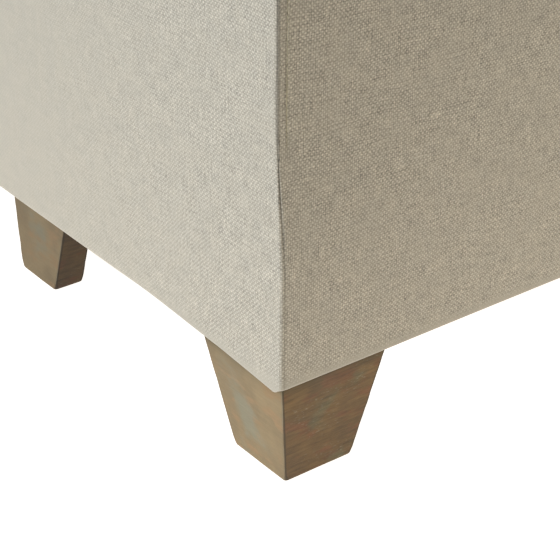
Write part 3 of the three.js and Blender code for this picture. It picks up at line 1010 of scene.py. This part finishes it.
# ---------- lid cushion cover ----------
LID_STEP = 8 * MM
LID_EDGE = 5 * MM
LID_LOW_EDGE = 1.5 * MM
LID_RETURN = 4  # steps of cloth turned in under the lid, tucked behind the lining's rim
TUCKED_UP = {3: 1.1 * MM, 4: 2.3 * MM}  # by the number of steps from the rim
PRESSURE = 4.0
CLOTH_FRAMES = 20
LID_SEAM_GROOVE = 0.9 * MM
LID_RISE_CAP = 9 * MM
LID_SIDE_CAP = 1.5 * MM


def lid_cover():
    """A boxed cushion cover, open below: blown up by cloth simulation between its seams and its return."""
    counts = [round(extent / LID_STEP) for extent in lid_size]
    top_z = lid_high.z - LID_SEAM_DROP
    extent = Vector((lid_size.x, lid_size.y, top_z - lid_low.z))
    middle = Vector((lid_centre.x, lid_centre.y, (top_z + lid_low.z) / 2))
    index, keys, points, faces, uvs = {}, [], [], [], []
    for axis, side, corners in box_faces(counts):
        i, j, _ = corners[0]
        if axis == 2 and not side and min(i, j, counts[0] - 1 - i, counts[1] - 1 - j) >= LID_RETURN:
            continue
        uv = []
        for key in corners:
            if key not in index:
                index[key] = len(points)
                keys.append(key)
                raw = middle + Vector([(2 * key[a] / counts[a] - 1) * extent[a] / 2 for a in range(3)])
                edge = mix(LID_LOW_EDGE, LID_EDGE, smoothstep(0, 0.03, raw.z - lid_low.z))
                points.append(rounded(raw, middle - extent / 2, middle + extent / 2, edge))
            flat = [extent[c] * key[c] / counts[c] for c in range(3)]
            uv.append((flat[0], flat[1]) if axis == 2 else (flat[1 - axis], flat[2]))
        order = 1 if side else -1
        faces.append([index[key] for key in corners][::order])
        uvs.append(uv[::order])
    piece = make_mesh("lid_cover_linen", points, faces, uvs)

    seam = []
    for i, j, k in keys:
        at_x, at_y = i in (0, counts[0]), j in (0, counts[1])
        seam.append((k == counts[2] and (at_x or at_y)) or (at_x and at_y))
    rest = [v.co.copy() for v in piece.data.vertices]
    held = piece.vertex_groups.new(name="held")
    held.add([i for i, key in enumerate(keys) if key[2] == 0 or seam[i]], 1.0, "REPLACE")
    cloth = piece.modifiers.new("cloth", "CLOTH")
    cloth.settings.vertex_group_mass = "held"
    cloth.settings.use_pressure = True
    cloth.settings.uniform_pressure_force = PRESSURE
    cloth.settings.effector_weights.gravity = 0
    cloth.settings.quality = 6
    cloth.settings.tension_stiffness = 12
    cloth.settings.compression_stiffness = 12
    cloth.settings.bending_stiffness = 1.5
    cloth.point_cache.frame_end = CLOTH_FRAMES
    scene = bpy.context.scene
    for step in range(1, CLOTH_FRAMES + 1):
        scene.frame_set(step)
    apply_modifiers(piece)
    scene.frame_set(1)
    for vertex, start, key, sewn in zip(piece.data.vertices, rest, keys, seam):
        moved = vertex.co - start
        if key[2] == 0 or sewn:
            moved = Vector((0, 0, 0))
        elif key[2] == counts[2]:
            moved.z = max(moved.z, lid_crown(start.x, start.y))
        for axis, cap in enumerate((LID_SIDE_CAP, LID_SIDE_CAP, LID_RISE_CAP)):
            moved[axis] = clamp(moved[axis], -cap, cap)
        inwards = min(key[0], key[1], counts[0] - key[0], counts[1] - key[1])
        moved.z += TUCKED_UP.get(inwards, 0.0) if key[2] == 0 else 0.0
        vertex.co = start + moved
    add_values(piece, "seam", [float(sewn) for sewn in seam])
    subdivide(piece)
    depths = [value.value for value in piece.data.attributes["seam"].data]
    into = [-normal.vector.copy() for normal in piece.data.vertex_normals]
    for vertex, share, inward in zip(piece.data.vertices, depths, into):
        vertex.co += inward * (LID_SEAM_GROOVE * smoothstep(0.6, 1.0, share))
    # these values also paint shade in the grooves, through the linen's SEAM_SHADE
    for value, share in zip(piece.data.attributes["seam"].data, depths):
        value.value = smoothstep(0.6, 1.0, share)
    solidify(piece, COVER_THICKNESS)
    finish_piece(piece, LINEN, "lid", "linen", "lid_cover")


lid_cover()


# ---------- screws and staples ----------
def screw_head(points, faces, place, outward, radius, proud):
    """One countersunk cross-head screw, added to points and faces."""
    turn = Vector((0, 0, 1)).rotation_difference(outward).to_matrix()
    turns = 48
    arm, half_slot, depth = 0.55 * radius, 0.14 * radius, 0.45 * radius
    rings = [(1.0, -0.2 * MM), (1.0, 0.4 * proud), (0.9, proud)]
    base = len(points)

    def ring(reach_at, height):
        for i in range(turns):
            angle = 2 * math.pi * (i + 0.5) / turns
            c, s = math.cos(angle), math.sin(angle)
            reach = reach_at(abs(c), abs(s))
            points.append(place + turn @ Vector((reach * c, reach * s, height)))

    def cross(c, s):
        return max(min(arm / c, half_slot / s), min(half_slot / c, arm / s))

    for share, height in rings:
        ring(lambda c, s, share=share: share * radius, height)
    ring(cross, proud)
    ring(cross, proud - depth)
    faces += tube_faces(turns, len(rings) + 2, base)


def screw_set(name, body, slot, material, places, radius, proud):
    points, faces = [], []
    for place, outward in places:
        screw_head(points, faces, Vector(place), Vector(outward), radius, proud)
    piece = make_mesh(name, points, faces, smooth=False)
    finish_piece(piece, material, body, slot)


LEAF_GAP = 0.2 * MM  # from the pin's middle to each leaf's face

for side in ("left", "right"):
    for body, up in (("base", 1), ("lid", -1)):
        low, _, size, centre = size_of(f"hinge_{body}_leaf_{side}")
        row_y = low.y + 0.35 * size.y
        screw_set(f"hinge_{body}_screws_{side}", body, "hinge_steel", HINGE_STEEL,
                  [((centre.x + step * 0.33 * size.x, row_y, centre.z - up * LEAF_GAP), (0, 0, up))
                   for step in (-1, 0, 1)], 3.2 * MM, 0.12 * MM)
    inward = -1 if side == "right" else 1
    low, high, size, centre = size_of(f"stay_plate_{side}")
    plate_face = (high.x if side == "right" else low.x) + inward * 2 * MM
    offset = 0.35 * size.y
    screw_set(f"stay_plate_screws_{side}", "base", "zinc_steel", ZINC,
              [((plate_face, centre.y + a * offset, centre.z + b * offset), (inward, 0, 0))
               for a, b in ((-1, -1), (1, -1), (1, 1), (-1, 1))], 3.0 * MM, 0.2 * MM)
    low, high, size, centre = size_of(f"stay_lid_bracket_{side}")
    flange_x = (low.x if side == "right" else high.x) - inward * 9 * MM
    screw_set(f"stay_bracket_screws_{side}", "lid", "zinc_steel", ZINC,
              [((flange_x, centre.y + a * 0.3 * size.y, high.z - 2 * MM), (0, 0, -1)) for a in (-1, 1)],
              3.4 * MM, 0.9 * MM)


def staples(node, body, spacing):
    """Wire staples under a cloth's rim, each turned a little at random."""
    low, high, _, _ = size_of(node)
    points, faces = [], []
    rng = random.Random(5)
    inset = 6 * MM
    length, wide, tall, sunk = 10 * MM, 1.0 * MM, 0.6 * MM, 0.1 * MM
    a, b = Vector((low.x + inset, low.y + inset)), Vector((high.x - inset, high.y - inset))
    corners = [a, Vector((b.x, a.y)), b, Vector((a.x, b.y))]
    for start, end in zip(corners, corners[1:] + corners[:1]):
        count = round((end - start).length / spacing)
        heading = math.atan2(end.y - start.y, end.x - start.x)
        for i in range(count):
            spot = start.lerp(end, (i + 0.5) / count)
            turn = Matrix.Rotation(heading + rng.uniform(-0.12, 0.12), 3, "Z")
            base = len(points)
            for section in range(5):
                share = section / 4 - 0.5
                drop = tall * (1 - (2 * abs(share)) ** 6)
                for across, down in ((-0.5, 0), (0.5, 0), (0.4, 1), (-0.4, 1)):
                    local = turn @ Vector((share * length, across * wide, 0))
                    points.append((spot.x + local.x, spot.y + local.y, low.z + sunk - down * drop))
            for section in range(4):
                for corner in range(4):
                    p, q = base + section * 4 + corner, base + section * 4 + (corner + 1) % 4
                    faces.append((p, q, q + 4, p + 4))
            faces.append(tuple(base + i for i in range(4))[::-1])
            faces.append(tuple(base + 16 + i for i in range(4)))
    piece = make_mesh(f"{node}_staples", points, faces, smooth=False)
    finish_piece(piece, ZINC, body, "zinc_steel")


staples("dust_cover", "base", 55 * MM)
staples("lid_lining", "lid", 48 * MM)

# ---------- soften the CAD pieces' edges ----------
for row in subparts:
    if row["material_slot"] in ("plywood", "zinc_steel", "hinge_steel"):
        bevel = nodes[row["node"]].modifiers.new("eased_edges", "BEVEL")
        bevel.width = 0.8 * MM if row["material_slot"] == "plywood" else 0.25 * MM
        if row["node"] == "lid_board":
            bevel.width = 4 * MM  # so that the cover can turn round it
        bevel.segments = 2
        bevel.limit_method = "ANGLE"
        bevel.angle_limit = math.radians(40)


# ---------- floor and light ----------
BRIGHT_FLOOR = 0.7  # radius of the floor's brightest glow, painted light that stands for a lit studio sweep
DIM_FLOOR = 1.6
SHADE_HALF = (0.24, 0.10)  # half size of a painted shadow, a dimmer glow deep under the body


def floor():
    n = Nodes("glowing_floor")
    place = n.object_place()
    reach = n.add("ShaderNodeVectorMath", operation="LENGTH")
    n.link(place, reach.inputs[0])
    away = n.ramp(reach.outputs["Value"], BRIGHT_FLOOR, DIM_FLOOR)
    past = [n.math("SUBTRACT", n.math("ABSOLUTE", along), half)
            for along, half in zip(n.axes(place), SHADE_HALF)]
    beneath = n.math("SUBTRACT", 1.0, n.ramp(n.math("MAXIMUM", *past), -0.06, 0.03))
    # The floor glows, a painted light that also lights the ottoman from below: full near the middle, fading
    # out to DIM_FLOOR, and dimmed in a painted shadow under the body.
    glow = n.math("SUBTRACT", 1.12, n.times(n.math("MAXIMUM", away, beneath), 0.75))
    n.shader.inputs["Emission Color"].default_value = (1.0, 0.95, 0.895, 1)
    n.put(n.shader.inputs["Emission Strength"], glow)
    half = 14.0
    sheet = make_mesh("floor", [(-half, -half, 0), (half, -half, 0), (half, half, 0), (-half, half, 0)],
                      [(0, 1, 2, 3)])
    sheet.location.z = -0.2 * MM
    sheet.data.materials.append(n.finish((0.5, 0.5, 0.5, 1), 0.95))


def area_light(name, place, target, size, energy, color):
    data = bpy.data.lights.new(name, "AREA")
    data.shape = "DISK"
    data.size = size
    data.energy = energy
    data.color = color
    light = bpy.data.objects.new(name, data)
    light.location = place
    light.rotation_mode = "QUATERNION"
    light.rotation_quaternion = (Vector(target) - Vector(place)).to_track_quat("-Z", "Y")
    light.visible_camera = False
    bpy.context.scene.collection.objects.link(light)


def world():
    made = bpy.data.worlds.new("studio")
    made.use_nodes = True
    background = made.node_tree.nodes["Background"]
    background.inputs["Color"].default_value = (1.0, 0.95, 0.85, 1)
    background.inputs["Strength"].default_value = 0.25
    bpy.context.scene.world = made


floor()
world()
area_light("key", (-0.5, -4.65, 2.1), (0, 0, 0.25), 1.6, 190, (0.72, 0.83, 1.0))
area_light("bounce", (1.2, 0.7, 0.16), (0.427, 0.05, 0.2), 0.5, 2.15, (1.0, 0.93, 0.82))
area_light("top", (0.0, 0.2, 2.6), (0, 0, 0.3), 1.2, 34, (0.9, 0.95, 1.0))
bpy.context.scene.view_settings.view_transform = "Standard"
